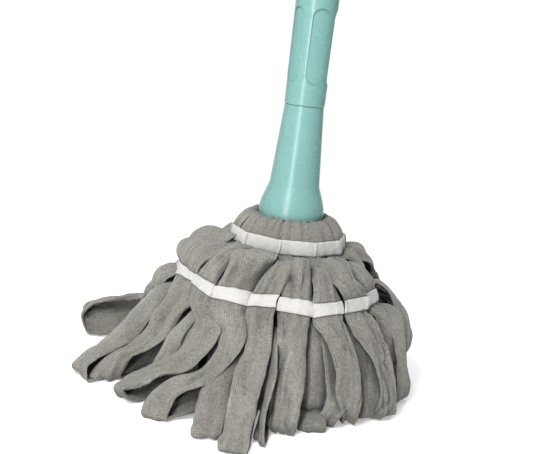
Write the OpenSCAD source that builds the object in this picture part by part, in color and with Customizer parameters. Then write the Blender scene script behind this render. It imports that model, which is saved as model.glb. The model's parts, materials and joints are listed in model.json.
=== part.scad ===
// Self-wringing string mop: a ring of looped cloth strips hangs from a sleeve
// that slides up the pole and turns, which wrings the strips out.
// The pole stands on +Z and the floor is the plane z = 0.

/* [Pole] */
// Outer diameter of the steel pole
pole_d = 22; // [20:0.5:24]
// Wall of the steel pole
pole_wall = 0.8; // [0.6:0.1:1]
// Height of the whole mop
mop_h = 1330; // [1150:10:1500]
// Height at which the two pole sections meet
pole_split_z = 700; // [660:10:760]

/* [Wringing sleeve] */
// Height of the skirt's lower rim above the floor
rim_z = 161; // [150:1:170]
// Diameter of the skirt's lower rim
rim_d = 63; // [60:0.2:64]
// Height of the seam between skirt and grip
seam_z = 268; // [262:1:274]
// Diameter of the grip at the seam
grip_d = 38.6; // [38:0.2:42]
// Length of the grip above the seam
grip_l = 130; // [124:1:150]
// Finger panels round the grip
panel_count = 5; // [4:1:6]
// How far the sleeve slides up the pole
sleeve_travel = 220; // [120:10:220]

/* [Ratchet] */
// Teeth on the ratchet wheel
tooth_count = 24; // [24:12:48]

/* [Strips] */
// Number of cloth strips
strip_count = 20; // [16:2:24]
// Width of one strip
strip_w = 30; // [20:1:32]
// Thickness of one strip, both runs of its loop together
strip_t = 5; // [3:0.5:6]
// Distance from the pole's axis to the middle of the strips' reach
reach_mid = 160; // [150:1:180]
// How much further the strips reach on one side
reach_lean = 36; // [0:1:40]
// Direction in which the strips reach furthest, in degrees from +X
lean_direction = 225; // [0:5:355]
// Height of the white bands
ribbon_w = 11.5; // [8:0.5:14]

/* [Hidden] */

$fn = 96;
// Clearance of parts that turn or slide on each other
run_gap = 0.1;
// Gap between parts that only sit beside each other
gap = 0.3;

turquoise = "#8fc7bf";
dark_turquoise = "#6fa9a2";
steel = "#c9ccce";
acetal = "#e9e7df";
cloth = "#9b9a94";
ribbon_white = "#eceae6";

pole_r = pole_d / 2;
pole_bore_r = pole_r - pole_wall;
groove_r = 1.5;
groove_x = pole_r + 0.5;
pole_foot_z = 30;
grip_r = grip_d / 2;
grip_top_z = seam_z + grip_l;
grip_taper = 1.2;

// Internals of the wringing sleeve, from the bottom up
rest_ring_z = 236;
rest_ring_h = 6;
bush_z = rest_ring_z + rest_ring_h + gap;
bush_r = 13.2;
bush_flange_h = 3.5;
web_z = bush_z + bush_flange_h + gap;
web_h = 3.5;
wheel_z = web_z + web_h + 1.5;
wheel_h = 8;
spigot_z = wheel_z + wheel_h + 2;
spigot_top_z = seam_z + 22;
sleeve_bore_r = 17;
shelf_z = seam_z + 88;
shelf_h = 5;
washer_h = 1;
clip_h = 1.4;
clip_z = shelf_z + shelf_h + washer_h + 2 * gap;
bush_top_z = clip_z + clip_h + 6;
bearing_r = bush_r + run_gap;
cap_lip_h = 7;

// Cloth at the hoop, between the hoop and the skirt
strip_root_r = 25.3;
strip_root_z = rim_z + 5;
// Top of the cloth outside the rim
crown_z = rim_z - 3;
inner_pocket_r = 19.5;

// Top of the mop
upper_top_z = mop_h - 40;
hand_grip_l = 115;

function strip_name(k) = str("strip_", k < 10 ? "0" : "", k);
function strip_turn(k) = 360 * (k - 0.5) / strip_count;
function reach(turn) = reach_mid + reach_lean * cos(turn - lean_direction);
// Point at share t of a cubic Bezier curve through four control points
function bezier(p, t) = pow(1 - t, 3) * p[0] + 3 * t * pow(1 - t, 2) * p[1]
    + 3 * t * t * (1 - t) * p[2] + pow(t, 3) * p[3];
function curve(p, steps) = [for (i = [0 : steps]) bezier(p, i / steps)];

// ---- shared shapes ----

// Round body with a round bore, from z0 up
module ring(z0, h, r_out, r_in) {
    translate([0, 0, z0]) difference() {
        cylinder(h = h, r = r_out);
        translate([0, 0, -1]) cylinder(h = h + 2, r = r_in);
    }
}

// Wall of the grooved lower pole, whose groove keeps the bush from turning
module grooved_tube_2d() {
    difference() {
        circle(pole_r);
        translate([groove_x, 0]) circle(groove_r);
        difference() {
            circle(pole_bore_r);
            translate([groove_x, 0]) circle(groove_r + pole_wall);
        }
    }
}

// Round plug that clears the ridge which the groove makes inside the pole
module slotted_plug(z0, h, bore_r) {
    translate([0, 0, z0]) linear_extrude(h) difference() {
        circle(pole_bore_r - run_gap);
        circle(bore_r);
        translate([groove_x, 0]) circle(groove_r + pole_wall + gap);
    }
}

// ---- pole ----

module pole_lower() {
    color(steel) translate([0, 0, pole_foot_z])
        linear_extrude(pole_split_z - pole_foot_z) grooved_tube_2d();
}

module pole_upper() {
    color(steel) ring(pole_split_z + 10, upper_top_z - pole_split_z - 10, pole_r, pole_bore_r);
}

// Joins the two pole sections: a collar with a plug below and a threaded spigot above
module pole_connector() {
    thread_pitch = 5;
    thread_turns = 8;
    color(dark_turquoise) {
        slotted_plug(pole_split_z - 45, 45, 6);
        ring(pole_split_z, 10, pole_r + 1.6, 6);
        difference() {
            ring(pole_split_z + 10, 50, pole_bore_r - run_gap, 6);
            for (i = [1 : thread_turns])
                ring(pole_split_z + 10 + thread_pitch * i, 1.5, pole_r, pole_bore_r - 1);
        }
    }
}

module hand_grip() {
    z0 = upper_top_z - hand_grip_l;
    waist = curve([[13.4, 4], [15.8, 36], [12.6, 74], [14.6, hand_grip_l]], 16);
    color(turquoise) difference() {
        translate([0, 0, z0]) rotate_extrude()
            polygon(concat([[pole_r + 0.05, 0], [12.6, 0]], waist, [[pole_r + 0.05, hand_grip_l]]));
        for (i = [0 : 6]) ring(z0 + 22 + 10 * i, 2, 18, 13.2);
    }
}

// Closes the pole and ends in a flat eye to hang the mop by
module end_cap() {
    eye_z = mop_h - 15;
    color(turquoise) {
        ring(upper_top_z - 35, 35, pole_bore_r - run_gap, 7);
        translate([0, 0, upper_top_z]) cylinder(h = 5, r = 14.6);
        translate([0, 0, upper_top_z + 5]) cylinder(h = 4, r1 = 14.6, r2 = 11);
        difference() {
            union() {
                translate([0, 5, eye_z]) rotate([90, 0, 0]) cylinder(h = 10, r = 15);
                translate([-11, -5, upper_top_z + 6]) cube([22, 10, eye_z - upper_top_z - 6]);
            }
            translate([0, 6, eye_z]) rotate([90, 0, 0]) cylinder(h = 12, r = 6);
        }
    }
}

// Crimped on the pole: stops the raised sleeve
module stop_collar() {
    color(dark_turquoise) ring(grip_top_z + cap_lip_h + sleeve_travel + gap, 10, 14, pole_r + 0.02);
}

// Crimped on the pole: the lowered sleeve rests on it
module rest_ring() {
    color(steel) ring(rest_ring_z, rest_ring_h, 13, pole_r + 0.02);
}

// ---- foot of the pole, which holds the strips' inner ends ----

module hub_plug() {
    color(dark_turquoise) {
        slotted_plug(pole_foot_z, 35, 2.3);
        ring(pole_foot_z - 6, 6, 17, 2.3);
    }
}

module hub_ring() {
    color(dark_turquoise) ring(pole_foot_z - 14, 7.7, 19, 3.2);
}

module hub_screw() {
    color(steel) {
        translate([0, 0, pole_foot_z - 17.5]) cylinder(h = 3.2, r = 5);
        translate([0, 0, pole_foot_z - 15]) cylinder(h = 38, r = 2.2);
    }
}

// Return runs of the loops, gathered round the hub; the pole stands on them
module inner_strips() {
    floor_h = 11.5;
    crown = curve([[84, 5], [80, 30], [52, 40], [inner_pocket_r, 46]], 12);
    color(cloth) rotate_extrude()
        polygon(concat([[0, 0], [80, 0]], crown, [[inner_pocket_r, floor_h], [0, floor_h]]));
}

// ---- carriage: slides on the pole, kept from turning by the groove ----

module slide_bush() {
    color(acetal) {
        difference() {
            union() {
                ring(bush_z, bush_top_z - bush_z, bush_r, pole_r + run_gap);
                ring(bush_z, bush_flange_h, 15, pole_r + run_gap);
            }
            ring(clip_z - run_gap, clip_h + 2 * run_gap, bush_r + 1, bush_r - 0.8);
        }
        translate([0, 0, bush_z]) linear_extrude(bush_top_z - bush_z) intersection() {
            translate([groove_x, 0]) circle(groove_r - 0.2);
            circle(pole_r + 0.4);
        }
    }
}

// Tooth ring pressed on the bush; its teeth lean one way
module ratchet_wheel() {
    tip_r = 15.4;
    root_r = 14.2;
    pitch = 360 / tooth_count;
    color(steel) translate([0, 0, wheel_z]) linear_extrude(wheel_h) difference() {
        polygon([for (i = [0 : tooth_count - 1], side = [0, 1])
            let (turn = i * pitch + side * 0.92 * pitch, r = side == 0 ? root_r : tip_r)
            [r * cos(turn), r * sin(turn)]]);
        circle(bush_r + 0.02);
    }
}

module thrust_washer() {
    color(steel) ring(shelf_z + shelf_h + gap, washer_h, 15.5, bearing_r);
}

module retaining_clip() {
    color(steel) difference() {
        ring(clip_z, clip_h, 15.2, bush_r - 0.7);
        translate([0, -4, clip_z - 1]) cube([20, 8, clip_h + 2]);
    }
}

// ---- sleeve: turns on the carriage ----

// Cutter for one shallow panel with round ends; its floor is flatter than the grip
module finger_panel() {
    half_w = 8.3;
    floor_r = 26;
    floor_x = sleeve_bore_r + 1;
    bottom_z = seam_z + 20;
    top_z = bottom_z + 70;
    difference() {
        rotate([90, 0, 90]) linear_extrude(2 * grip_r) {
            for (z = [bottom_z + half_w, top_z - half_w]) translate([0, z]) circle(half_w);
            translate([-half_w, bottom_z + half_w]) square([2 * half_w, top_z - bottom_z - 2 * half_w]);
        }
        translate([floor_x - floor_r, 0, bottom_z - 1]) cylinder(h = top_z - bottom_z + 2, r = floor_r);
    }
}

module grip_sleeve() {
    shelf = shelf_z - seam_z;
    first_panel_turn = -72;
    color(turquoise) difference() {
        translate([0, 0, seam_z]) rotate_extrude() polygon([
            [sleeve_bore_r, 0], [grip_r - 0.5, 0], [grip_r, 0.8], [grip_r + grip_taper, grip_l],
            [sleeve_bore_r, grip_l], [sleeve_bore_r, shelf + shelf_h], [bearing_r, shelf + shelf_h],
            [bearing_r, shelf], [sleeve_bore_r, shelf - 6]
        ]);
        for (i = [0 : panel_count - 1])
            rotate([0, 0, first_panel_turn + 360 / panel_count * i]) finger_panel();
    }
}

module sleeve_cap() {
    color(turquoise) {
        ring(grip_top_z - 14, 14, sleeve_bore_r - run_gap, pole_r + 0.5);
        translate([0, 0, grip_top_z]) rotate_extrude() polygon([
            [pole_r + 0.5, 0], [grip_r + grip_taper, 0], [grip_r + grip_taper, 2],
            [grip_r - 1, 5.5], [15, cap_lip_h], [pole_r + 0.5, cap_lip_h]
        ]);
    }
}

// Flared lower shell; its spigot plugs into the grip and its web turns on the bush
module skirt() {
    wall = 2;
    rim_r = rim_d / 2;
    neck_r = grip_r - 0.6;
    shoulder_r = 24;
    shoulder_z = rim_z + 31;
    flare = curve([[rim_r, rim_z + 5], [rim_r - 0.6, rim_z + 15], [shoulder_r + 2.6, shoulder_z - 9],
                   [shoulder_r, shoulder_z]], 12);
    outside = concat([[rim_r, rim_z]], flare, [[neck_r, seam_z - 0.6]]);
    inside = [for (i = [len(outside) - 1 : -1 : 0]) outside[i] - [wall, 0]];
    color(turquoise) {
        rotate_extrude() polygon(concat(outside, inside));
        ring(spigot_z, spigot_top_z - spigot_z, sleeve_bore_r - run_gap, sleeve_bore_r - 1.5);
        ring(seam_z - 3, 2.4, neck_r, sleeve_bore_r - 1);
        ring(web_z, web_h, neck_r, bearing_r);
    }
}

// Ring seated in the skirt, with three fingers in the wheel's tooth gaps
module pawl_ring() {
    finger_tip_r = 14.85;
    pitch = 360 / tooth_count;
    color(acetal) {
        ring(wheel_z - 1, wheel_h + 2, 16.9, 15.6);
        for (i = [0 : 2])
            rotate([0, 0, 120 * i + 0.2 * pitch]) translate([finger_tip_r, -0.6, wheel_z])
                cube([1.2, 1.2, wheel_h]);
    }
}

// Hoop inside the rim, which the strips' upper ends are sewn round
module strip_ring() {
    color(dark_turquoise) ring(rim_z - 2, 12, 25, 22.2);
}

// ---- cloth ----

// Outer face of a strip from the hoop, over both bands, to the floor at reach far
function strip_outside(far) = concat(
    [[27.6, strip_root_z], [27.8, rim_z - 0.6]],
    curve([[31, rim_z - 0.8], [44, crown_z - 1], [50, crown_z - 13], [59, crown_z - 26]], 6),
    curve([[64, crown_z - 32], [74, crown_z - 40], [87, crown_z - 47], [98, crown_z - 56]], 3),
    curve([[104, crown_z - 61], [118, crown_z - 74], [far - 22, 48], [far, 7]], 8)
);
// The same face moved in and down by the strip's thickness
function strip_inside(far) = [for (p = strip_outside(far))
    [max(strip_root_r, p[0] - 0.72 * strip_t), p[1] - 0.7 * strip_t]];

// One strip: a bent band of constant width, narrowed to its share of the ring near the pole
module strip(k) {
    turn = strip_turn(k);
    far = reach(turn);
    outside = strip_outside(far);
    inside = strip_inside(far);
    last = len(outside) - 1;
    half_turn = 180 / strip_count - 0.5;
    beyond = 2 * reach_mid;
    section = concat(
        [[strip_root_r, strip_root_z]], outside, [[far - 1, 1.5], [far - 5, 0], [far - 14, 0]],
        [for (i = [last - 1 : -1 : 2]) inside[i]], [[strip_root_r, rim_z - 4]]
    );
    color(cloth) rotate([0, 0, turn]) intersection() {
        rotate([90, 0, 0]) translate([0, 0, -strip_w / 2]) linear_extrude(strip_w) polygon(section);
        linear_extrude(rim_z + 20) polygon([
            [0, 0], beyond * [cos(half_turn), -sin(half_turn)], beyond * [cos(half_turn), sin(half_turn)]
        ]);
    }
}

// Band round all the strips, centred at radius r and height z on a face that falls at slope degrees
module ribbon(r, z, slope, lift) {
    along = [cos(slope), -sin(slope)];
    out = [sin(slope), cos(slope)];
    thick = 0.8;
    middle = [r, z] + lift * out;
    color(ribbon_white) rotate_extrude() polygon([
        middle - ribbon_w / 2 * along, middle + ribbon_w / 2 * along,
        middle + ribbon_w / 2 * along + thick * out, middle - ribbon_w / 2 * along + thick * out
    ]);
}

module ribbon_upper() { ribbon(53.8, crown_z - 18, 54, 1.1); }
module ribbon_lower() { ribbon(96, crown_z - 54.4, 40, 1.6); }

pole_lower();
pole_upper();
pole_connector();
hand_grip();
end_cap();
stop_collar();
rest_ring();
hub_plug();
hub_ring();
hub_screw();
inner_strips();
slide_bush();
ratchet_wheel();
thrust_washer();
retaining_clip();
grip_sleeve();
sleeve_cap();
skirt();
pawl_ring();
strip_ring();
ribbon_upper();
ribbon_lower();
for (k = [1 : strip_count])
    strip(k);
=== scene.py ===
"""Looks of the self-wringing string mop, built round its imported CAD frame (metres, +Z up)."""
import json
import math

import bpy
import numpy as np
from mathutils import Matrix, Vector, noise


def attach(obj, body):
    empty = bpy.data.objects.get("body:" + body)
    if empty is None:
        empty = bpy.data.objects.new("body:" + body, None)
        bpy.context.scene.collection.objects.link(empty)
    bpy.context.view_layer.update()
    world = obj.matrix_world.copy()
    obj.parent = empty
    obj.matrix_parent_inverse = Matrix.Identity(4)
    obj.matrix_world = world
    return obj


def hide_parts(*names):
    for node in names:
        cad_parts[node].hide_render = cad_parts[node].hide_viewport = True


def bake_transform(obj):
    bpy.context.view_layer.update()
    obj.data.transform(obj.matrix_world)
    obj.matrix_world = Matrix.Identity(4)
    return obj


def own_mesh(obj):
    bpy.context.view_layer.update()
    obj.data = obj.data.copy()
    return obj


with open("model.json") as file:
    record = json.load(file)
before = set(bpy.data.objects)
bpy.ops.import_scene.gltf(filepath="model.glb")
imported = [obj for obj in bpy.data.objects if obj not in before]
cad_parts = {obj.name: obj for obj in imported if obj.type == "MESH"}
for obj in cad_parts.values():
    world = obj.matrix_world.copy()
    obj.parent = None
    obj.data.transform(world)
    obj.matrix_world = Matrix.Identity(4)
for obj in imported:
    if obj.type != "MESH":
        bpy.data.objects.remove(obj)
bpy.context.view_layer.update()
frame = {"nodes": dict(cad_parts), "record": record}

# ---- driving sizes, in millimetres unless a name or comment says otherwise ----

MM = 0.001
STRIP_COUNT = sum(name.startswith("strip_") and name != "strip_ring" for name in frame["nodes"])
PITCH = 360 / STRIP_COUNT      # degrees from one strip to the next
STRIP_W = 30
STRIP_T = 2.6
RIBBON_W = 12.5
RIBBON_T = 0.8
RIBBON_GAP = 1.0               # from the strip's face to the middle of the tape
RIBBON_REACH_OUTER, RIBBON_REACH_INNER = 1.12, 1.02    # tape's length as a share of the strip's width
STEP = 1.8                     # between the rows of a band's mesh
ACROSS = 25                    # mesh points across a band
FLOOR_CLEARANCE = 0.35

# Camera: angles in degrees, place in metres, lens and sensor in millimetres.
CAMERA_YAW, CAMERA_PITCH, CAMERA_ROLL = -1.31, 12.18, 6.91
CAMERA_PLACE = (0, -0.950, 0.351)
LENS, SENSOR_W = 67.54, 36

# Soft boxes: place and aim in metres, width and height in metres, power in watts.
LIGHTS = {
    "key": dict(place=(-0.46, -1.14, 1.25), target=(0, 0, 0.14), size=(0.35, 0.35), power=22),
    "streak": dict(place=(-0.42, -1.28, 0.44), target=(0, 0, 0.44), size=(0.16, 0.85), power=9),
    "top": dict(place=(0.1, 0.3, 1.9), target=(0, 0, 0.14), size=(1.1, 1.1), power=12),
}
BACKDROP, ROOM = 1.03, 0.34    # brightness of the backdrop and of the rest of the room
BACKDROP_FROM, BACKDROP_FULL = 0.75, 0.92    # where it begins and is full, as the +Y share of a direction
FLOOR_SIZE = 1.8               # metres


# ---- camera, floor and light ----

def add_camera():
    """Camera at the photograph's angle: its place, where it looks and how far it is rolled."""
    yaw, pitch, roll = (math.radians(a) for a in (CAMERA_YAW, CAMERA_PITCH, CAMERA_ROLL))
    ahead = Vector((math.sin(yaw) * math.cos(pitch), math.cos(yaw) * math.cos(pitch), -math.sin(pitch)))
    level = ahead.cross(Vector((0, 0, 1))).normalized()
    upright = level.cross(ahead)
    right = math.cos(roll) * level + math.sin(roll) * upright
    up = right.cross(ahead)
    data = bpy.data.cameras.new("camera")
    data.sensor_width = SENSOR_W
    data.lens = LENS
    camera = bpy.data.objects.new("camera", data)
    turned = Matrix((right, up, -ahead)).transposed().to_4x4()
    camera.matrix_world = Matrix.Translation(CAMERA_PLACE) @ turned
    bpy.context.scene.collection.objects.link(camera)
    bpy.context.scene.camera = camera


def add_light(name, place, target, size, power):
    """Soft box of the given width and height."""
    data = bpy.data.lights.new(name, "AREA")
    data.shape = "RECTANGLE"
    data.size, data.size_y = size
    data.energy = power
    lamp = bpy.data.objects.new(name, data)
    lamp.location = place
    lamp.rotation_euler = (Vector(target) - Vector(place)).to_track_quat("-Z", "Y").to_euler()
    bpy.context.scene.collection.objects.link(lamp)


def add_world():
    """Dimmer room with a white backdrop towards +Y. Seen directly, it is white all round."""
    world = bpy.data.worlds.new("studio")
    world.use_nodes = True
    nodes, links = world.node_tree.nodes, world.node_tree.links
    split = nodes.new("ShaderNodeSeparateXYZ")
    links.new(nodes.new("ShaderNodeTexCoord").outputs["Generated"], split.inputs[0])
    lit = nodes.new("ShaderNodeMapRange")
    set_range(lit, BACKDROP_FROM, BACKDROP_FULL, ROOM, BACKDROP)
    links.new(split.outputs["Y"], lit.inputs["Value"])
    seen = nodes.new("ShaderNodeMath")
    seen.operation = "MULTIPLY"
    seen.inputs[1].default_value = BACKDROP
    links.new(nodes.new("ShaderNodeLightPath").outputs["Is Camera Ray"], seen.inputs[0])
    strength = nodes.new("ShaderNodeMath")
    strength.operation = "MAXIMUM"
    links.new(seen.outputs[0], strength.inputs[0])
    links.new(lit.outputs["Result"], strength.inputs[1])
    links.new(strength.outputs[0], nodes["Background"].inputs["Strength"])
    nodes["Background"].inputs["Color"].default_value = (1, 1, 1, 1)
    bpy.context.scene.world = world


def add_floor():
    bpy.ops.mesh.primitive_plane_add(size=FLOOR_SIZE)
    floor = bpy.context.object
    floor.name = "floor"
    floor.data.materials.append(floor_paint())


# ---- materials ----

def set_range(node, from_low, from_high, to_low, to_high):
    """Limits of a Map Range node."""
    names = ("From Min", "From Max", "To Min", "To Max")
    for name, value in zip(names, (from_low, from_high, to_low, to_high)):
        node.inputs[name].default_value = value


class Shader:
    """Small helper that adds and links shader nodes of one material."""

    def __init__(self, name):
        self.material = bpy.data.materials.new(name)
        self.material.use_nodes = True
        self.tree = self.material.node_tree
        self.surface = self.tree.nodes["Principled BSDF"]
        self.place = self.node("ShaderNodeTexCoord").outputs["Object"]

    def node(self, kind, **values):
        made = self.tree.nodes.new(kind)
        for key, value in values.items():
            setattr(made, key, value)
        return made

    def link(self, source, target):
        self.tree.links.new(source, target)

    def noise(self, scale, detail=3.0, roughness=0.55):
        """Noise in the object's own space. scale counts cells per metre."""
        made = self.node("ShaderNodeTexNoise")
        made.inputs["Scale"].default_value = scale
        made.inputs["Detail"].default_value = detail
        made.inputs["Roughness"].default_value = roughness
        self.link(self.place, made.inputs["Vector"])
        return made.outputs["Fac"]

    def ramp(self, source, *stops):
        """Colour ramp through (position, colour) stops."""
        made = self.node("ShaderNodeValToRGB")
        elements = made.color_ramp.elements
        while len(elements) < len(stops):
            elements.new(0.5)
        for element, (position, colour) in zip(elements, stops):
            element.position = position
            element.color = (*colour, 1)
        self.link(source, made.inputs["Fac"])
        return made.outputs["Color"]

    def range(self, source, from_low, from_high, to_low, to_high):
        made = self.node("ShaderNodeMapRange")
        set_range(made, from_low, from_high, to_low, to_high)
        self.link(source, made.inputs["Value"])
        return made.outputs["Result"]

    def math(self, operation, *values):
        made = self.node("ShaderNodeMath", operation=operation)
        for socket, value in zip(made.inputs, values):
            if isinstance(value, (int, float)):
                socket.default_value = value
            else:
                self.link(value, socket)
        return made.outputs["Value"]

    def times(self, a, b):
        return self.math("MULTIPLY", a, b)

    def plus(self, first, *others):
        total = first
        for other in others:
            total = self.math("ADD", total, other)
        return total

    def swing(self, noise_value, amount):
        """Noise from 0 to 1 turned into a swing of amount about nothing."""
        return self.times(self.math("SUBTRACT", noise_value, 0.5), amount)

    def multiply_colour(self, colour, share):
        made = self.node("ShaderNodeMix", data_type="RGBA", blend_type="MULTIPLY")
        made.inputs[0].default_value = 1.0
        self.link(colour, made.inputs[6])
        self.link(share, made.inputs[7])
        return made.outputs[2]

    def bump(self, height, strength, distance):
        made = self.node("ShaderNodeBump")
        made.inputs["Strength"].default_value = strength
        made.inputs["Distance"].default_value = distance
        self.link(height, made.inputs["Height"])
        self.link(made.outputs["Normal"], self.surface.inputs["Normal"])

    def drive(self, **sources):
        """Links sources to the surface's sockets of those names."""
        for name, source in sources.items():
            self.link(source, self.surface.inputs[name.replace("_", " ")])

    def set(self, **values):
        for name, value in values.items():
            self.surface.inputs[name.replace("_", " ")].default_value = value


def moulded_plastic(name, colour, dark, roughness=0.34):
    """Satin moulded plastic: a faint mottle, fine grain in the gloss and tiny scuffs."""
    s = Shader(name)
    mottle = s.noise(scale=18, detail=4)
    grain = s.noise(scale=900, detail=2)
    scuffs = s.noise(scale=90, detail=6, roughness=0.7)
    s.drive(Base_Color=s.ramp(mottle, (0.32, dark), (0.68, colour)),
            Roughness=s.range(scuffs, 0.35, 0.75, roughness - 0.02, roughness + 0.03))
    s.bump(s.plus(s.times(grain, 0.35), mottle), strength=0.06, distance=0.0005)
    s.set(IOR=1.46, Specular_IOR_Level=0.5)
    return s.material


def painted_steel(name, colour):
    """Powder-coated tube: an orange-peel coat that is a little worn."""
    s = Shader(name)
    peel = s.noise(scale=420)
    wear = s.noise(scale=25, detail=6, roughness=0.7)
    shaded = tuple(0.93 * c for c in colour)
    s.drive(Base_Color=s.ramp(wear, (0.3, shaded), (0.7, colour)),
            Roughness=s.range(wear, 0.3, 0.75, 0.26, 0.42))
    s.bump(peel, strength=0.18, distance=0.0004)
    s.set(Coat_Weight=0.3, Coat_Roughness=0.15)
    return s.material


def bare_steel(name):
    """Zinc-plated turned steel with fine rings round Z."""
    s = Shader(name)
    split = s.node("ShaderNodeSeparateXYZ")
    s.link(s.place, split.inputs[0])
    rings = s.math("SINE", s.times(split.outputs["Z"], 9000.0))
    bloom = s.noise(scale=120, detail=5, roughness=0.65)
    s.drive(Base_Color=s.ramp(bloom, (0.3, (0.52, 0.52, 0.50)), (0.7, (0.70, 0.70, 0.69))),
            Roughness=s.range(bloom, 0.3, 0.7, 0.24, 0.46))
    s.bump(rings, strength=0.1, distance=0.0002)
    s.set(Metallic=1.0)
    return s.material


def woven_cloth(name, light, middle, dark, thread=1.9, depth=0.5, fold_shade_share=0.28):
    """Loose gauze of thin yarns: warp and weft in the piece's own UV, which is in metres.

    thread is their spacing in millimetres, and fold_shade_share the share of colour left deep in the folds,
    where ambient occlusion darkens the yarn as painted shade."""
    s = Shader(name)
    split = s.node("ShaderNodeSeparateXYZ")
    s.link(s.node("ShaderNodeUVMap", uv_map="cloth").outputs["UV"], split.inputs[0])
    wander = s.swing(s.noise(scale=190, detail=4, roughness=0.7), 9.0)
    turns = 2 * math.pi / (thread * MM)
    warp = s.math("SINE", s.plus(s.times(split.outputs["X"], turns), wander))
    weft = s.math("SINE", s.plus(s.times(split.outputs["Y"], turns), wander))
    open_mesh = s.range(s.noise(scale=34), 0.36, 0.62, 0.06, 0.3)
    weave = s.times(s.plus(warp, weft), open_mesh)
    fuzz = s.noise(scale=1500, roughness=0.7)
    slubs = s.noise(scale=420, detail=4, roughness=0.65)
    cloud = s.noise(scale=26, detail=4, roughness=0.6)
    puckers = s.noise(scale=80, roughness=0.5)
    tone = s.plus(s.times(weave, 0.5), s.swing(slubs, 1.1), s.swing(cloud, 0.8), 0.5)
    yarn = s.ramp(tone, (0.12, dark), (0.5, middle), (0.88, light))
    # Painted shade: the yarn colour is darkened where ambient occlusion finds cloth close by, in folds and in
    # gaps between strips.
    hollow = s.node("ShaderNodeAmbientOcclusion", samples=8)
    hollow.inputs["Distance"].default_value = 0.03
    painted_fold_shade = s.range(hollow.outputs["AO"], 0.2, 0.9, fold_shade_share, 1.0)
    s.drive(Base_Color=s.multiply_colour(yarn, painted_fold_shade))
    height = s.plus(s.times(weave, 0.5), s.times(fuzz, 0.6), s.times(slubs, 0.8), s.times(puckers, 3.4))
    s.bump(height, strength=depth, distance=0.0009)
    s.set(Roughness=0.95, Sheen_Weight=0.25, Sheen_Roughness=0.6, Specular_IOR_Level=0.15)
    return s.material


def floor_paint():
    s = Shader("pale_floor")
    s.set(Base_Color=(0.93, 0.93, 0.93, 1), Roughness=0.9, Specular_IOR_Level=0.1)
    s.set(Emission_Color=(1, 1, 1, 1), Emission_Strength=0.32)
    return s.material


# ---- a band of cloth ----

# Relief of a band: seed shift, cycles across half its width, cycles per millimetre, height.
FOLDS = (0, 1.3, 0.016, 5.0)
CREASES = (50, 2.6, 0.045, 2.6)
CRUMPLE = (90, 5.0, 0.14, 0.7)
TUCK_LINES = (130, 1.7, 0.018, 1)
TUCK_PLACES = (170, 0.8, 0.012, 3)
PLEAT_DRIFT = (210, 0.9, 0.03, 0.8)
TUCK_DEPTH, TUCK_WIDTH = 4.0, 0.14          # the width as a value of the tuck lines' noise
CALM_FROM, CALM_OVER, CALM_LEAST = 20, 60, 0.1    # relief grows from the clamped upper end
SEWN_CALM, SEWN_REACH = 0.75, 12            # share of relief that a sewn tape takes away, and how far
PLEAT_H, PLEAT_REACH, PLEAT_START = 3.4, 26, 8    # pleats either side of a tape
RIPPLE_H, RIPPLE_RATE = 7.0, 0.028          # waves of the edges
GATHER_H, GATHER_END = 0.8, 24              # gathers at the clamped end, gone at twice that run


def hermite(values, knots, at):
    """Smooth curve through values (rows) at knots, sampled at the places in at."""
    slope = np.gradient(values, knots, axis=0)
    i = np.clip(np.searchsorted(knots, at, side="right") - 1, 0, len(knots) - 2)
    h = (knots[i + 1] - knots[i])[:, None]
    t = ((at - knots[i]) / (knots[i + 1] - knots[i]))[:, None]
    return ((2 * t**3 - 3 * t**2 + 1) * values[i] + (t**3 - 2 * t**2 + t) * h * slope[i]
            + (3 * t**2 - 2 * t**3) * values[i + 1] + (t**3 - t**2) * h * slope[i + 1])


def along_path(edges):
    """Even samples along a band's rows of edges and camber, their run, and the run at each given row."""
    edges = np.array(edges, float)

    def run_along(rows):
        middle = (rows[:, :3] + rows[:, 3:6]) / 2
        return np.concatenate([[0], np.cumsum(np.linalg.norm(np.diff(middle, axis=0), axis=1))])

    knots = run_along(edges)
    fine_at = np.linspace(0, knots[-1], 600)
    fine = hermite(edges, knots, fine_at)
    run = run_along(fine)
    even = np.linspace(0, run[-1], max(8, int(run[-1] / STEP)))
    samples = np.stack([np.interp(even, run, fine[:, c]) for c in range(fine.shape[1])], 1)
    return samples, even, np.interp(knots, fine_at, run)


def rails(turn, rows):
    """Left and right edges (x, y, z each) and camber for rows of (r, z, side, roll, width share, camber)
    in the vertical plane through the pole's axis at azimuth turn."""
    rows = np.array(rows, float)
    centre = np.stack([rows[:, 0], rows[:, 2], rows[:, 1]], 1)
    tangent = np.gradient(centre, axis=0)
    tangent /= np.linalg.norm(tangent, axis=1)[:, None]
    side = np.array([0.0, 1.0, 0.0]) - tangent[:, 1:2] * tangent
    side /= np.linalg.norm(side, axis=1)[:, None]
    roll = np.radians(rows[:, 3])[:, None]
    side = np.cos(roll) * side + np.sin(roll) * np.cross(tangent, side)
    half = 0.5 * STRIP_W * rows[:, 4:5]
    angle = math.radians(turn)
    sine, cosine = math.sin(angle), math.cos(angle)
    spin = np.array([[cosine, sine, 0], [-sine, cosine, 0], [0, 0, 1]])
    return np.hstack([(centre - half * side) @ spin, (centre + half * side) @ spin, rows[:, 5:6]])


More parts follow.
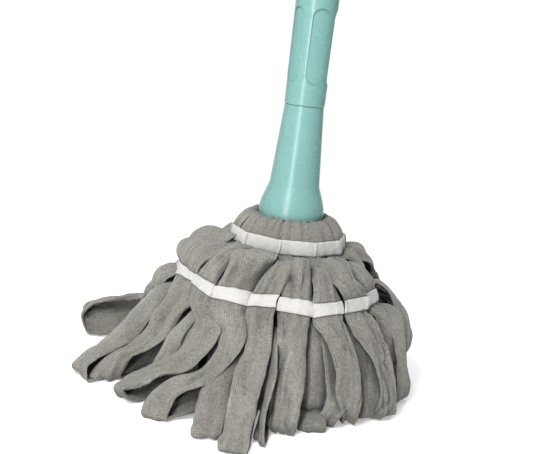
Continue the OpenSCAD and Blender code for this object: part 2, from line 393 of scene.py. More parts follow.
class Band:
    """A band of cloth between two edges, kept so that tape can be laid on it.

    edges are rows of (left x, y, z, right x, y, z, camber) in millimetres. sewn numbers the rows
    that a tape crosses, and gathers counts the half waves at the clamped end."""

    def __init__(self, edges, seed, wrinkle=1.0, gathers=0, sewn=()):
        samples, self.run, self.knots = along_path(edges)
        left, right = samples[:, :3], samples[:, 3:6]
        self.seed = seed
        self.camber = samples[:, 6]
        self.centre = (left + right) / 2
        self.half = np.linalg.norm(right - left, axis=1) / 2
        self.side = (right - left) / (2 * self.half[:, None])
        self.out = np.cross(np.gradient(self.centre, self.run, axis=0), self.side)
        self.out /= np.linalg.norm(self.out, axis=1)[:, None]
        self.u = np.sin(np.linspace(-1, 1, ACROSS) * math.pi / 2)
        calm = np.clip((self.run - CALM_FROM) / CALM_OVER, CALM_LEAST, 1)[:, None]
        for knot in sewn:
            calm *= 1 - SEWN_CALM * np.exp(-((self.away_from(knot) / SEWN_REACH) ** 2))[:, None]
        self.lift = wrinkle * calm * self.creasing()
        for knot in sewn:
            self.lift += self.pleats_beside(knot)
        for hand in (-1, 1):
            edge = np.clip(hand * self.u, 0, 1)[None, :] ** 2
            self.lift += wrinkle * calm * RIPPLE_H * self.ripple(hand) * edge
        if gathers:
            self.lift += self.gathering(gathers)
        self.edge_wander = np.array([[self.wander(hand, b) for hand in (-1, 1)] for b in self.run])

    def away_from(self, knot):
        """Run of every sample from the row numbered knot."""
        return self.run - self.knots[knot]

    def relief(self, shift, across, along, height):
        """Smooth noise over the band from -height to height."""
        out = np.empty((len(self.run), ACROSS))
        for j, b in enumerate(self.run):
            for i, a in enumerate(self.u):
                out[j, i] = noise.noise((a * across, b * along, (self.seed + shift) * 7.31))
        return out * height

    def creasing(self):
        """Relief of the whole band: wide folds, creases, fine crumple and sharp tucks here and there."""
        places = np.clip(self.relief(*TUCK_PLACES), 0, 1)
        lines = np.clip(1 - np.abs(self.relief(*TUCK_LINES)) / TUCK_WIDTH, 0, 1)
        tucks = -TUCK_DEPTH * lines ** 1.5 * places
        return self.relief(*FOLDS) + self.relief(*CREASES) + self.relief(*CRUMPLE) + tucks

    def pleats_beside(self, knot):
        """Small pleats that a sewn tape holds either side of itself."""
        away = self.away_from(knot)
        height = PLEAT_H * np.exp(-np.abs(away) / PLEAT_REACH) * (1 - np.exp(-((away / PLEAT_START) ** 2)))
        phase = math.pi * (1.6 * self.u[None, :] + self.seed * 0.37) + self.relief(*PLEAT_DRIFT)
        return height[:, None] * (np.abs(np.cos(phase)) - 0.6)

    def ripple(self, hand):
        """Wave along one edge of the band, hand being -1 or 1."""
        places = [(b * RIPPLE_RATE, self.seed * 5.7, hand * 9.1) for b in self.run]
        return np.array([noise.noise(place) for place in places])[:, None]

    def gathering(self, count):
        """Gathers at the clamped upper end."""
        fade = np.clip(1 - (self.run - GATHER_END) / GATHER_END, 0, 1)[:, None]
        wide = np.cos(math.pi * count * self.u + self.seed)
        narrow = 0.6 * np.cos(math.pi * 1.7 * count * self.u + 2 * self.seed)
        return GATHER_H * fade * (wide + narrow)[None, :]

    def wander(self, hand, b):
        """Share of the half width by which an edge strays at run b: a slow and a quick wave."""
        return (0.08 * noise.noise((hand * 3.1, b * 0.03, self.seed * 3.3))
                + 0.07 * noise.noise((hand * 5.3, b * 0.11, self.seed * 2.1)))

    def surface(self, u, rows, raise_by):
        """Points across the band at u, for the given sample rows, raised off the middle surface."""
        edge = np.where(u[None, :] < 0, self.edge_wander[rows, 0:1], self.edge_wander[rows, 1:2])
        across = u[None, :] * (1 + edge * np.abs(u)[None, :])
        lift = np.stack([np.interp(u, self.u, self.lift[j]) for j in rows])
        lift = lift + self.camber[rows, None] * (0.4 - u[None, :] ** 2) + raise_by
        wide = across * self.half[rows, None]
        points = (self.centre[rows, None, :] + self.side[rows, None, :] * wide[..., None]
                  + self.out[rows, None, :] * lift[..., None])
        points[..., 2] = np.maximum(points[..., 2], FLOOR_CLEARANCE)
        return points * MM

    def all_rows(self):
        return np.arange(len(self.run))

    def rows_near(self, knot, width):
        return np.flatnonzero(np.abs(self.away_from(knot)) <= width / 2)


def edge_profile(u):
    """Share of the half thickness at u: full in the middle, a slight bead, then round to nothing."""
    bead = 0.45 * np.exp(-(((np.abs(u) - 0.86) / 0.08) ** 2))
    return np.sqrt(np.clip(1 - u**4, 0, 1)) * (1 + bead)


def flat_tube(name, band, rows, offset, half_thick, reach, share):
    """Mesh of a flat tube of cloth: two faces half_thick either side of offset, which meet at the edges.

    reach is its width as a share of the band's, and share the half thickness at each point of band.u."""
    u = band.u * reach
    upper = band.surface(u, rows, offset + half_thick * share[None, :])
    lower = band.surface(u, rows, offset - half_thick * share[None, :])[:, 1:-1][:, ::-1]
    ring = np.concatenate([upper, lower], axis=1)
    count, around = ring.shape[:2]
    girth = np.concatenate([u, 2 - u[1:-1][::-1]]) * STRIP_W / 2 * MM
    girth = np.append(girth, 3 * STRIP_W / 2 * MM)
    along = band.run[rows] * MM
    faces, uvs = [], []
    for j in range(count - 1):
        near, far = j * around, (j + 1) * around
        for i in range(around):
            k = (i + 1) % around
            faces.append((near + i, near + k, far + k, far + i))
            uvs += [(girth[i], along[j]), (girth[i + 1], along[j])]
            uvs += [(girth[i + 1], along[j + 1]), (girth[i], along[j + 1])]
    faces.append(tuple(range(around))[::-1])
    faces.append(tuple(range((count - 1) * around, count * around)))
    uvs += [(0.0, 0.0)] * (2 * around)
    mesh = bpy.data.meshes.new(name)
    mesh.from_pydata(ring.reshape(-1, 3).tolist(), [], faces)
    mesh.uv_layers.new(name="cloth").data.foreach_set("uv", np.array(uvs, np.float32).ravel())
    mesh.polygons.foreach_set("use_smooth", [True] * len(mesh.polygons))
    mesh.update()
    piece = bpy.data.objects.new(name, mesh)
    bpy.context.scene.collection.objects.link(piece)
    return piece


def cloth_piece(name, band, material):
    """The whole band as a piece of cloth with rounded edges."""
    piece = flat_tube(name, band, band.all_rows(), 0.0, STRIP_T / 2, 1.0, edge_profile(band.u))
    piece.data.materials.append(material)
    return piece


def tape_piece(name, band, knot, reach, material):
    """Tape laid on the outside of a band, where it crosses the row numbered knot."""
    rows = band.rows_near(knot, RIBBON_W + STEP)
    share = np.clip(1 - band.u**8, 0, 1)
    tape = flat_tube(name, band, rows, STRIP_T / 2 + RIBBON_GAP, RIBBON_T / 2, reach, share)
    tape.data.materials.append(material)
    return tape


def draw_in(piece):
    """Cloth rides the sleeve, with a mesh of its own."""
    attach(piece, "sleeve")
    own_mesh(piece)


# ---- the shapes of the strips, in millimetres ----

# A strip's path is rows of: reach r, height z, side, roll in degrees, width share, camber.
OUTER_TOP = [(28.4, 166, 0, 0, 0.62, 0.3), (28.6, 160, 0, 0, 0.66, 0.3), (31.5, 158.4, 0, 0, 0.76, 0.3),
             (35.5, 161, 0, 0, 0.88, 0.4), (40, 160, 0, 0, 0.98, 0.4), (45, 155.5, 0, 0, 1.08, 0.4),
             (49.5, 148, 0, 0, 1.16, 0.4), (51.8, 140, 0, 0, 1.2, 0.4), (53, 131, 0, 0, 1.18, 0.4)]
INNER_TOP = [(26.0, 160, 0, 0, 0.45, 0.6), (27, 153, 0, 0, 0.5, 1.0), (36, 150, 0, 0, 0.65, 1.5),
             (44, 145, 0, 0, 0.9, 2.0), (49, 137, 0, 0, 0.95, 2.0)]
OUTER_MIDDLE = [(63, 130, 0, 0, 1.22, 3), (77, 127, 0, 0, 1.15, 7), (91, 113, 0, 0, 1.0, 4)]
INNER_MIDDLE = [(59, 134, 0, 0, 1.0, 3), (74, 127, 0, 0, 1.1, 6), (88, 111, 0, 0, 1.0, 4)]
LOWER_ROW = (98.5, 100, 0, 0, 1.03, 1.5)
RETURN = [(112, 46, 0, 0, 1, 2), (88, 78, 0, 0, 0.9, 2), (62, 104, 0, 0, 0.8, 2), (36, 130, 0, 0, 0.5, 1)]
RETURN_KEPT = 3            # its last rows, which follow a shape's own lower run
REACH = 150                # how far a default strip reaches over the floor from the pole's axis
REACH_LEAN, LEAN_TO = 12, 225    # further towards this azimuth in degrees, and less opposite it
REACH_STRAY = 6            # and a little to and fro
DRIFT, ROLL = 10, 8        # sideways stray in millimetres, and its roll in degrees

# Strips that the front view shows, shaped one by one. top holds path rows as above; between and
# below hold rows of edges (left x, y, z, right x, y, z, camber): between the two bands, and from
# under the lower band round the turn of the loop. at_band is the row that the lower band crosses.
SHAPES = {
    1: dict(
        between=[(50, -3, 133, 47, 17, 133, 2), (63, -3, 125, 60, 21, 125, 3), (76, -2, 112, 72, 24, 112, 3)],
        at_band=(83, -3, 99, 80, 26, 99, 1)),
    11: dict(
        top=[(28.4, 166, 0, 0, 0.56, 0.5), (28.6, 160, 0, 0, 0.58, 0.5), (31.5, 158, 0, 0, 0.66, 0.6),
             (37, 161, 0, 0, 0.85, 1), (43, 158, 0, 0, 1.0, 1), (48, 151, 0, 0, 1.0, 1),
             (51, 142, 0, 0, 1.0, 1)],
        between=[(-60, 4, 139, -58, -26, 135, 4), (-78, 8, 138, -76, -24, 134, 6),
                 (-93, 6, 122, -90, -26, 118, 4)],
        below=[(-114, 8, 97, -107, -28, 95, 3), (-125, 8, 90, -117, -26, 86, 5),
               (-128, 6, 79, -118, -24, 76, 3), (-122, 14, 70, -118, -16, 68, 1),
               (-128, 24, 56, -132, -2, 62, 1), (-144, 42, 49, -140, 14, 54, 1),
               (-166, 52, 40, -157, 26, 48, 1), (-188, 52, 33, -180, 30, 41, 1),
               (-199, 52, 28, -193, 32, 34, 1), (-203, 52, 24, -202, 33, 19, 1),
               (-200, 52, 25, -197, 33, 6, 1), (-187, 52, 32, -182, 34, 2, 1),
               (-166, 52, 39, -160, 36, 7, 1), (-144, 56, 46, -139, 41, 20, 1),
               (-112, 54, 50, -108, 34, 40, 1)]),
    12: dict(
        between=[(-65, -8, 132, -42, -42, 129, 3), (-84, -8, 132, -58, -50, 126, 4),
                 (-95, -12, 125, -73, -54, 119, 4), (-101, -20, 114, -79, -56, 109, 3)],
        at_band=(-99, -30, 103, -79, -58, 100, 2),
        below=[(-105, -44, 90, -76, -64, 92, 5), (-109, -51, 79, -77, -68, 84, 5),
               (-117, -58, 66, -86, -70, 71, 4), (-122, -60, 50, -94, -76, 54, 3),
               (-136, -62, 33, -112, -80, 37, 2), (-155, -74, 23, -130, -80, 25, 1.5),
               (-160, -84, 14, -134, -80, 14, 1), (-162, -92, 4, -138, -77, 4, 0.5),
               (-156, -84, 1.6, -133, -70, 1.6, 0.5), (-138, -66, 6, -118, -54, 8, 1),
               (-108, -44, 36, -94, -60, 36, 1)]),
    13: dict(
        between=[(-54, -42, 133, -36, -54, 133, 4), (-68, -52, 124, -48, -66, 127, 6),
                 (-78, -58, 111, -58, -74, 113, 4)],
        at_band=(-80, -58, 102, -61, -82, 98, 1.5),
        below=[(-86, -66, 84, -60, -90, 84, 5), (-78, -84, 65, -48, -106, 70, 5),
               (-86, -88, 54, -50, -108, 60, 4), (-92, -92, 42, -58, -110, 49, 3),
               (-103, -96, 30, -73, -116, 33, 2), (-123, -99, 17, -91, -122, 27, 1.5),
               (-133, -106, 12, -110, -130, 20, 1), (-138, -109, 6, -127, -131, 13, 1),
               (-133, -110, 1.6, -122, -131, 5, 1), (-124, -104, 6, -115, -126, 1.6, 1),
               (-110, -92, 12, -102, -112, 2, 1), (-86, -68, 28, -76, -88, 22, 1)]),
    14: dict(
        between=[(-36, -59, 131, -6, -64, 134, 5), (-47, -79, 134, -8, -85, 138, 7),
                 (-51, -85, 121, -14, -81, 119, 5), (-56, -86, 109, -20, -87, 108, 3)],
        at_band=(-60, -85, 99, -26, -97, 100, 5),
        below=[(-62, -87, 90, -29, -102, 91, 6), (-60, -93, 82, -30, -107, 88, 7),
               (-52, -101, 68, -27, -117, 71, 5), (-52, -110, 53, -28, -124, 56, 3),
               (-63, -120, 38, -39, -129, 43, 2), (-85, -127, 27, -57, -137, 28, 1.5),
               (-99, -136, 15, -76, -146, 20, 1), (-105, -146, 8, -81, -154, 11, 1),
               (-106, -152, 2, -82, -159, 2, 0.5), (-98, -146, 1.6, -76, -152, 1.6, 1),
               (-84, -134, 10, -66, -144, 2, 1), (-70, -120, 22, -56, -132, 6, 1),
               (-54, -100, 44, -42, -114, 28, 1)]),
    15: dict(
        between=[(-12, -64, 128, 8, -64, 130, 3), (-13, -82, 128, 7, -79, 131, 4),
                 (-20, -95, 117, 4, -94, 120, 3)],
        at_band=(-27, -96, 99, -2, -99, 102, 1),
        below=[(-28, -100, 92, -3, -103, 95, 3), (-27, -110, 76, -3, -112, 82, 3),
               (-26, -122, 60, -2, -124, 64, 2.5), (-31, -135, 47, -4, -137, 49, 2),
               (-32, -154, 27, -6, -153, 33, 1), (-33, -173, 12, -8, -169, 17, 0.5),
               (-36, -192, 5, -10, -196, 4, 0.5), (-35, -201, 2, -11, -203, 2, 0.5),
               (-34, -192, 1.5, -10, -194, 1.5, 0.5), (-30, -160, 8, -8, -160, 8, 1)]),
    16: dict(
        between=[(-5, -62, 131, 25, -61, 130, 3), (-2, -85, 133, 26, -77, 132, 5),
                 (-1, -90, 121, 27, -81, 119, 3), (0, -94, 110, 28, -87, 108, 1)],
        at_band=(0, -99, 100, 29, -96, 98, 2),
        below=[(0, -103, 90, 29, -101, 88, 4), (1, -112, 80, 27, -111, 83, 6),
               (4, -125, 58, 29, -124, 61, 5), (3, -136, 39, 30, -134, 41, 4),
               (3, -147, 22, 29, -143, 21, 2), (3, -158, 8, 28, -153, 5, 1), (6, -155, 2, 28, -149, 2, 0.5),
               (8, -146, 1.5, 28, -140, 1.5, 0.5), (8, -126, 10, 28, -122, 10, 1)]),
    17: dict(
        between=[(18, -61, 128, 38, -53, 128, 3), (26, -79, 125, 46, -71, 125, 4),
                 (29, -93, 114, 52, -84, 114, 3)],
        at_band=(31, -96, 97, 57, -82, 100, 1.5),
        below=[(33, -100, 88, 59, -86, 91, 4), (41, -106, 80, 63, -94, 84, 6),
               (48, -112, 72, 68, -101, 76, 5), (53, -118, 63, 74, -106, 66, 4),
               (57, -124, 52, 79, -112, 53, 3), (58, -128, 37, 81, -116, 38, 3),
               (62, -126, 24, 82, -116, 25, 2), (67, -120, 10, 82, -112, 8, 1),
               (68, -112, 2, 82, -104, 2, 1), (64, -104, 2, 80, -96, 2, 1), (54, -90, 12, 70, -80, 12, 1)]),
    18: dict(
        between=[(28, -57, 130, 51, -36, 131, 3), (37, -73, 128, 60, -52, 130, 6),
                 (50, -83, 117, 69, -63, 119, 4)],
        below=[(60, -83, 91, 81, -62, 92, 4), (68, -86, 77, 86, -67, 90, 4), (78, -90, 67, 95, -70, 78, 4),
               (86, -94, 57, 104, -74, 59, 3), (91, -96, 46, 111, -78, 42, 2),
               (96, -98, 36, 116, -80, 28, 2), (99, -101, 25, 119, -83, 15, 1),
               (98, -100, 10, 119, -82, 3, 1), (94, -92, 1.6, 114, -74, 1.6, 1),
               (80, -76, 12, 98, -60, 12, 1)]),
    19: dict(
        between=[(45, -40, 128, 56, -22, 127, 3), (58, -50, 127, 71, -30, 126, 5),
                 (71, -57, 119, 84, -34, 117, 4)],
        at_band=(79, -55, 101, 91, -31, 102, 1.5),
        below=[(83, -57, 93, 95, -32, 93, 3), (92, -58, 90, 104, -32, 86, 5),
               (97, -58, 78, 111, -32, 75, 5), (102, -58, 66, 119, -34, 65, 4),
               (106, -58, 54, 122, -36, 58, 2), (110, -58, 45, 120, -41, 48, 1),
               (106, -54, 38, 112, -38, 40, 1), (90, -44, 32, 98, -30, 32, 1)]),
    20: dict(
        between=[(60, -22, 133, 60, 2, 133, 3), (68, -24, 125, 71, 2, 125, 4), (76, -28, 113, 80, 0, 113, 3)],
        at_band=(81, -32, 103, 86, -4, 103, 1.5),
        below=[(90, -14, 109, 95, 15, 102, 0), (101, -14, 102, 105, 14, 94, 0),
               (112, -15, 90, 116, 12, 82, 0), (119, -26, 72, 127, 0, 72, 1),
               (122, -34, 53, 131, -6, 57, 3), (120, -34, 43, 128, -10, 47, 2),
               (112, -30, 37, 118, -10, 40, 1), (94, -24, 40, 100, -6, 40, 1)]),
}

# Further loops that show between the strips, as rows of edges.
BETWEEN = [
    [(-96, -14, 88, -90, -42, 86, 2), (-122, -22, 79, -108, -48, 80, 5), (-134, -26, 64, -118, -52, 63, 5),
     (-150, -34, 42, -130, -58, 42, 5), (-168, -46, 23, -146, -64, 28, 3),
     (-182, -60, 12, -164, -80, 20, 2), (-186, -68, 5, -170, -92, 13, 1), (-180, -66, 6, -167, -95, 3, 1),
     (-166, -52, 16, -156, -88, 2, 1), (-140, -36, 26, -130, -64, 8, 1), (-98, -24, 56, -90, -48, 46, 1)],
    [(-70, -38, 84, -58, -58, 84, 2), (-96, -44, 54, -76, -64, 50, 3), (-112, -48, 32, -90, -70, 26, 3),
     (-122, -50, 16, -100, -74, 12, 2), (-126, -52, 7, -104, -76, 5, 1), (-120, -46, 2, -100, -70, 2, 1),
     (-98, -32, 8, -84, -52, 6, 1), (-64, -20, 46, -52, -38, 42, 1)],
    [(86, 2, 98, 89, 26, 98, 2), (104, 4, 90, 106, 28, 86, 3), (116, 4, 72, 118, 28, 68, 3),
     (122, -4, 50, 125, 20, 48, 3), (124, -16, 30, 128, 8, 28, 2), (122, -28, 10, 127, -4, 8, 1),
     (114, -28, 3, 118, -6, 2, 1), (96, -18, 12, 98, 2, 10, 1)],
    [(-84, 14, 126, -80, -6, 124, 2), (-97, 15, 123, -93, -5, 120, 2), (-106, 14, 117, -101, -4, 113, 1),
     (-108, 14, 108, -103, -4, 106, 0.5), (-101, 12, 100, -96, -6, 101, 1), (-86, 10, 100, -82, -8, 98, 1),
     (-70, 8, 104, -66, -8, 102, 1)],
    [(84, -44, 74, 92, -22, 74, 2), (100, -48, 52, 110, -24, 50, 3), (110, -46, 32, 122, -22, 28, 3),
     (114, -46, 14, 126, -22, 11, 2), (110, -44, 3, 121, -20, 2, 1), (88, -38, 8, 98, -16, 8, 1)],
    [(-70, -58, 84, -60, -74, 84, 2), (-90, -74, 62, -78, -88, 66, 3), (-98, -82, 52, -84, -94, 54, 3),
     (-103, -86, 38, -86, -96, 40, 2), (-108, -92, 26, -92, -98, 28, 1), (-110, -92, 20, -97, -92, 17, 1),
     (-98, -82, 16, -86, -80, 14, 1), (-70, -60, 36, -60, -54, 36, 1)],
    [(-40, -92, 74, -22, -98, 76, 2), (-49, -126, 41, -28, -126, 46, 2), (-58, -136, 27, -32, -134, 35, 2),
     (-60, -149, 16, -32, -147, 22, 1), (-60, -165, 9, -32, -162, 12, 1),
     (-59, -183, 2.5, -34, -179, 2.5, 0.5), (-56, -176, 1.6, -32, -172, 1.6, 0.5),
     (-50, -150, 6, -28, -148, 6, 1), (-40, -106, 40, -20, -106, 40, 1)],
    [(-33, -46, 133, -20, -54, 133, 1), (-46, -60, 124, -30, -72, 127, 2),
     (-53, -69, 113, -34, -80, 116, 2), (-56, -73, 102, -37, -83, 104, 1), (-57, -74, 92, -38, -84, 94, 1),
     (-51, -67, 90, -34, -76, 92, 0.5), (-47, -61, 102, -31, -70, 104, 1), (-40, -52, 118, -25, -62, 120, 1)],
    [(-18, -52, 133, -2, -54, 133, 1), (-22, -69, 125, -4, -73, 126, 2), (-25, -78, 114, -6, -85, 114, 2),
     (-27, -86, 102, -8, -90, 102, 1), (-27, -87, 93, -8, -91, 93, 1), (-25, -80, 91, -8, -84, 91, 0.5),
     (-22, -72, 102, -6, -76, 102, 1), (-18, -63, 118, -4, -65, 118, 1)],
    [(12, -96, 50, 34, -92, 50, 2), (20, -114, 28, 44, -108, 28, 2), (25, -124, 12, 50, -118, 12, 1),
     (28, -136, 8, 53, -130, 11, 1), (29, -143, 4, 54, -137, 7, 1), (29, -141, 1.6, 54, -136, 1.6, 0.5),
     (24, -122, 1.6, 48, -116, 1.6, 0.5), (14, -92, 8, 34, -88, 8, 1)],
    [(-6, -88, 74, 0, -104, 80, 1), (-5, -101, 60, 2, -122, 68, 2), (-5, -112, 45, 4, -136, 52, 2),
     (-5, -132, 26, 3, -154, 33, 1), (-6, -153, 9, 1, -171, 14, 1), (-6, -172, 3, 3, -185, 3, 0.5),
     (-4, -165, 1.6, 4, -178, 1.6, 0.5), (-2, -138, 8, 6, -148, 8, 1), (0, -98, 40, 8, -108, 40, 1)],
    [(25, -92, 86, 40, -86, 88, 3), (26, -100, 70, 46, -95, 73, 4), (27, -109, 49, 50, -102, 56, 5),
     (28, -117, 32, 53, -110, 36, 3), (29, -122, 14, 53, -116, 16, 2), (28, -112, 9, 52, -106, 10, 1),
     (26, -92, 14, 46, -86, 14, 1), (20, -66, 34, 36, -60, 34, 1)],
    [(34, -88, 86, 48, -82, 84, 2), (43, -104, 68, 62, -92, 66, 2), (46, -112, 57, 67, -98, 52, 2),
     (49, -119, 43, 70, -106, 38, 2), (52, -125, 28, 72, -114, 24, 2), (48, -128, 15, 66, -122, 14, 1),
     (42, -126, 4, 60, -122, 2.5, 1), (44, -116, 1.6, 60, -110, 1.6, 1), (40, -94, 10, 56, -88, 10, 1),
     (30, -68, 32, 44, -60, 32, 1)],
    [(52, -62, 90, 66, -56, 90, 2), (66, -80, 74, 82, -72, 74, 3), (74, -88, 60, 90, -78, 62, 3),
     (79, -94, 46, 96, -82, 48, 3), (83, -101, 33, 102, -88, 32, 2), (84, -104, 20, 104, -92, 18, 1),
     (84, -103, 6, 102, -93, 3, 1), (80, -95, 1.6, 98, -85, 1.6, 1), (66, -76, 12, 82, -68, 12, 1)],
    [(84, -46, 82, 89, -33, 93, 1), (97, -50, 78, 104, -32, 93, 1), (108, -54, 70, 116, -32, 86, 2),
     (114, -60, 58, 123, -38, 64, 3), (118, -61, 47, 128, -37, 38, 3), (119, -60, 34, 132, -35, 26, 2),
     (120, -58, 20, 135, -33, 14, 1), (118, -57, 8, 133, -32, 3, 1), (114, -54, 2, 124, -28, 2, 1),
     (96, -44, 12, 104, -20, 12, 1)],
]

# Shorter loops inside the head, which close the view between the outer ones.
INNER_COUNT = 16
INNER_PATH = [(24, 153, 0, 0, 0.4, 0.5), (36, 146, 0, 0, 0.6, 1), (50, 129, 0, 0, 0.85, 2),
              (68, 106, 0, 0, 1.1, 3), (86, 80, 0, 0, 1.2, 4), (103, 50, 0, 0, 1.2, 5),
              (114, 26, 0, 0, 1.1, 3), (113, 8, 0, 0, 1.0, 1), (102, 2.5, 0, 0, 1.0, 1),
              (92, 12, 0, 0, 1.0, 1), (86, 34, 0, 0, 0.9, 1), (74, 62, 0, 0, 0.8, 1)]

# Small loops round the foot of the pole, and the strands that join it to the sleeve.
HUB_COUNT = 18
HUB_PATH = [(8, 44, 0, 0, 0.3, 0.5), (18, 43, 0, 0, 0.42, 1), (34, 40, 0, 0, 0.6, 1.5),
            (52, 35, 0, 0, 0.8, 2), (66, 26, 0, 0, 0.9, 2), (74, 14, 0, 0, 0.95, 1.5), (73, 5, 0, 0, 0.95, 1),
            (64, 2.2, 0, 0, 0.9, 1), (44, 2.2, 0, 0, 0.6, 0.5), (22, 2.2, 0, 0, 0.36, 0.3),
            (4, 2.2, 0, 0, 0.12, 0.2)]
HUB_CROWN = [(6, 41, 0, 0, 0.4, 0), (24, 38, 0, 0, 0.5, 1), (46, 33, 0, 0, 0.7, 3),
             (60, 22, 0, 0, 0.85, 3), (66, 10, 0, 0, 0.85, 2), (58, 5, 0, 0, 0.8, 0)]
CORE_COUNT = 12
CORE_FOOT, CORE_HEAD = 34, 150
CORE_R, CORE_BULGE = 17, 3
CORE_HALF_ANGLE = 19     # degrees either side of a strand's middle
CORE_TWIST = 50          # degrees from foot to head
CORE_CAMBER = 2


# ---- strips and loops ----

def is_outer(number):
    """Even strips lie outside, over the odd ones, and only they carry the upper tape."""
    return number % 2 == 0


def lower_run(turn):
    """Default stretch from the lower band to the floor and round the loop, a little different each time."""
    reach = REACH + REACH_LEAN * math.cos(math.radians(turn - LEAN_TO)) + REACH_STRAY * math.sin(turn * 0.7)
    drift = DRIFT * math.sin(turn)
    roll = ROLL * math.cos(3 * turn)
    return [(112, 87, 0.1 * drift, 0, 1.05, 6), (130, 62, 0.3 * drift, 0.4 * roll, 1.05, 7),
            (reach - 16, 27, 0.8 * drift, roll, 1, 5), (reach - 3, 12, drift, roll, 1, 3),
            (reach - 1, 5, drift, roll, 1, 1.5), (reach - 10, 2.2, drift, roll, 1, 1),
            (reach - 34, 8, 0.7 * drift, 0.4 * roll, 1, 1)]


def strip_edges(number, turn):
    """Edges of a whole strip, with the numbers of the rows that the upper and the lower band cross."""
    shape = SHAPES.get(number, {})
    outer = is_outer(number)
    top = shape.get("top", OUTER_TOP if outer else INNER_TOP)
    middle = OUTER_MIDDLE if outer else INNER_MIDDLE
    whole = rails(turn, top + middle + [LOWER_ROW] + lower_run(turn) + RETURN)
    first, second = len(top), len(top) + len(middle)
    parts = [whole[:first], shape.get("between", whole[first:second]), shape.get("at_band", whole[second])]
    if "below" in shape:
        parts += [shape["below"], whole[-RETURN_KEPT:]]
    else:
        parts.append(whole[second + 1:])
    return np.vstack(parts), (first - 2, first + len(parts[1]))


def add_strip(number, cloth, ribbon):
    """One strip with the tapes sewn across it."""
    turn = PITCH * (number - 0.5)
    node = f"strip_{number:02d}"
    edges, (upper, lower) = strip_edges(number, turn)
    outer = is_outer(number)
    tapes = {"upper": upper, "lower": lower} if outer else {"lower": lower}
    band = Band(edges, seed=number, wrinkle=0.9 if number in SHAPES else 1.0, gathers=5 if outer else 0,
                sewn=tuple(tapes.values()))
    strip = cloth_piece(f"cloth_{node}", band, cloth)
    draw_in(strip)
    for label, knot in tapes.items():
        reach = RIBBON_REACH_OUTER if outer else RIBBON_REACH_INNER
        tape = tape_piece(f"ribbon_{label}_{number:02d}", band, knot, reach, ribbon)
        draw_in(tape)
    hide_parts(node)


def add_strips(cloth, ribbon):
    for number in range(1, STRIP_COUNT + 1):
        add_strip(number, cloth, ribbon)
    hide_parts("ribbon_upper")
    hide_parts("ribbon_lower")


def add_loose_loop(name, edges, seed, wrinkle, cloth):
    """A loop that hangs from the strip ring without a tape of its own."""
    band = Band(edges, seed=seed, wrinkle=wrinkle)
    loop = cloth_piece(name, band, cloth)
    draw_in(loop)


def add_loose_loops(cloth):
    for index, edges in enumerate(BETWEEN, 1):
        add_loose_loop(f"cloth_between_{index:02d}", edges, seed=40 + index, wrinkle=0.5, cloth=cloth)
    for index in range(INNER_COUNT):
        edges = rails(360 / INNER_COUNT * index, INNER_PATH)
        add_loose_loop(f"cloth_inner_{index + 1:02d}", edges, seed=60 + index, wrinkle=1.0, cloth=cloth)


def add_hub(cloth):
    """The loops' inner ends, which stay at the foot of the pole while the sleeve rises."""
    for label, path, shift in (("loop", HUB_PATH, 0), ("crown", HUB_CROWN, 0.5)):
        for index in range(HUB_COUNT):
            turn = 360 / HUB_COUNT * (index + shift)
            band = Band(rails(turn, path), seed=90 + index, wrinkle=0.8)
            loop = cloth_piece(f"cloth_hub_{label}_{index + 1:02d}", band, cloth)
            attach(loop, "pole")
    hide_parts("inner_strips")


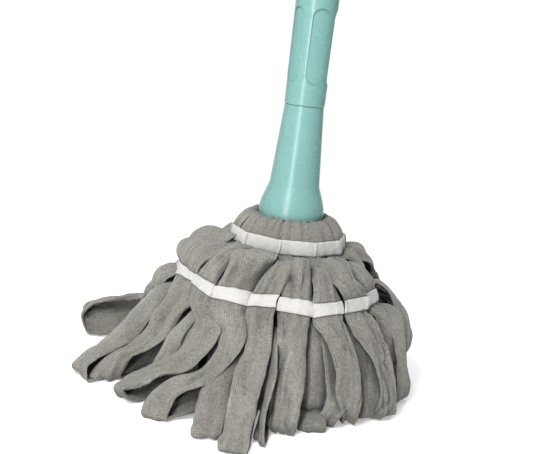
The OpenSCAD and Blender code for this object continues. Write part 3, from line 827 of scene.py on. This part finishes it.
def core_edges(turn):
    """Edges of one strand that winds round the pole from its foot up to the strip ring."""
    half = math.radians(CORE_HALF_ANGLE)
    rows = []
    for share in np.linspace(0, 1, 9):
        radius = CORE_R + CORE_BULGE * math.sin(math.pi * share)
        middle = math.radians(turn + CORE_TWIST * share)
        height = CORE_FOOT + (CORE_HEAD - CORE_FOOT) * share
        rows.append([radius * math.cos(middle - half), radius * math.sin(middle - half), height,
                     radius * math.cos(middle + half), radius * math.sin(middle + half), height, CORE_CAMBER])
    return rows


def add_core(cloth):
    """Strands from the pole's foot to the sleeve."""
    for index in range(CORE_COUNT):
        band = Band(core_edges(360 / CORE_COUNT * index), seed=120 + index, wrinkle=0.25)
        strand = cloth_piece(f"cloth_core_{index + 1:02d}", band, cloth)
        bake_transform(strand)


# ---- the scene ----

def paint_frame(by_slot):
    """Every CAD node gets the material of its slot in the record."""
    for part in frame["record"]["subparts"]:
        node = frame["nodes"][part["node"]]
        node.data.materials.clear()
        node.data.materials.append(by_slot[part["material_slot"]])


def soften_finger_panels():
    edges = frame["nodes"]["grip_sleeve"].modifiers.new("soft_edges", "BEVEL")
    edges.width = 0.9 * MM
    edges.segments = 3
    edges.angle_limit = math.radians(25)


add_camera()
bpy.context.scene.view_settings.view_transform = "Standard"
add_world()
for light_name, light in LIGHTS.items():
    add_light(light_name, **light)
add_floor()

grey_cloth = woven_cloth("grey_cloth", light=(0.270, 0.260, 0.232), middle=(0.177, 0.170, 0.150),
                         dark=(0.092, 0.087, 0.075))
# The tape gets painted shade from ambient occlusion too, lighter than the cloth's.
white_ribbon = woven_cloth("white_ribbon", light=(0.53, 0.517, 0.50), middle=(0.482, 0.47, 0.453),
                           dark=(0.406, 0.394, 0.377), thread=1.0, depth=0.3, fold_shade_share=0.8)
turquoise = moulded_plastic("turquoise_plastic", (0.166, 0.332, 0.309), (0.161, 0.325, 0.302), roughness=0.27)
paint_frame({
    "turquoise_plastic": turquoise,
    "dark_plastic": moulded_plastic("dark_plastic", (0.13, 0.30, 0.27), (0.11, 0.27, 0.245)),
    "white_plastic": moulded_plastic("white_plastic", (0.80, 0.79, 0.74), (0.76, 0.75, 0.70), roughness=0.4),
    "pole_steel": painted_steel("pole_steel", (0.60, 0.62, 0.63)),
    "bare_steel": bare_steel("bare_steel"),
    "grey_cloth": grey_cloth,
    "white_ribbon": white_ribbon,
})
soften_finger_panels()

add_strips(grey_cloth, white_ribbon)
add_loose_loops(grey_cloth)
add_hub(grey_cloth)
add_core(grey_cloth)
